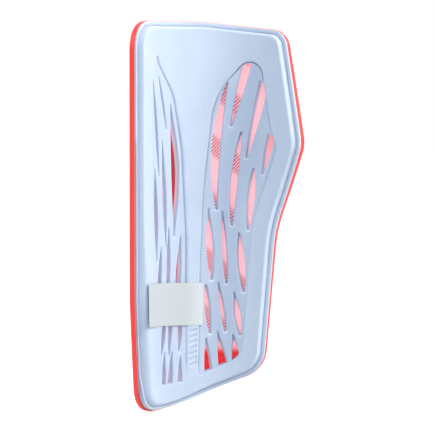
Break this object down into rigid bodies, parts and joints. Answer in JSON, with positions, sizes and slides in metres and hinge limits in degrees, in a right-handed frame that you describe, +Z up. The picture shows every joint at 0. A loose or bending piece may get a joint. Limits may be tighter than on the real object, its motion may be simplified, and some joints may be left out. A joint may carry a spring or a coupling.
{
  "type": "shin guard",
  "caption": "Slip-in shin guard with a curved moulded shell, a printed lining and a vented foam pad that wraps the front of the lower leg.",
  "frame": {"origin": "middle of the padded face's ridge, where the guard lies on the shin", "axes": "+Z up the leg toward the knee, +X to the right as the padded face is looked at, -Y out of the padded face toward the leg"},
  "size_m": [0.0943, 0.0384, 0.2085],
  "materials": {
    "shell_plastic": "smooth moulded polypropylene, coral red, satin gloss",
    "printed_film": "printed film, pale pink to red with fine slanted hatching",
    "adhesive": "thin double-sided adhesive",
    "eva_foam": "moulded closed-cell foam, pale blue-grey, fine matte skin",
    "label_film": "blank white adhesive label"
  },
  "bodies": {
    "root": {"shell": "shell_plastic", "printed_film": "printed_film", "adhesive_film": "adhesive", "foam_pad": "eva_foam", "label": "label_film"}
  },
  "joints": []
}
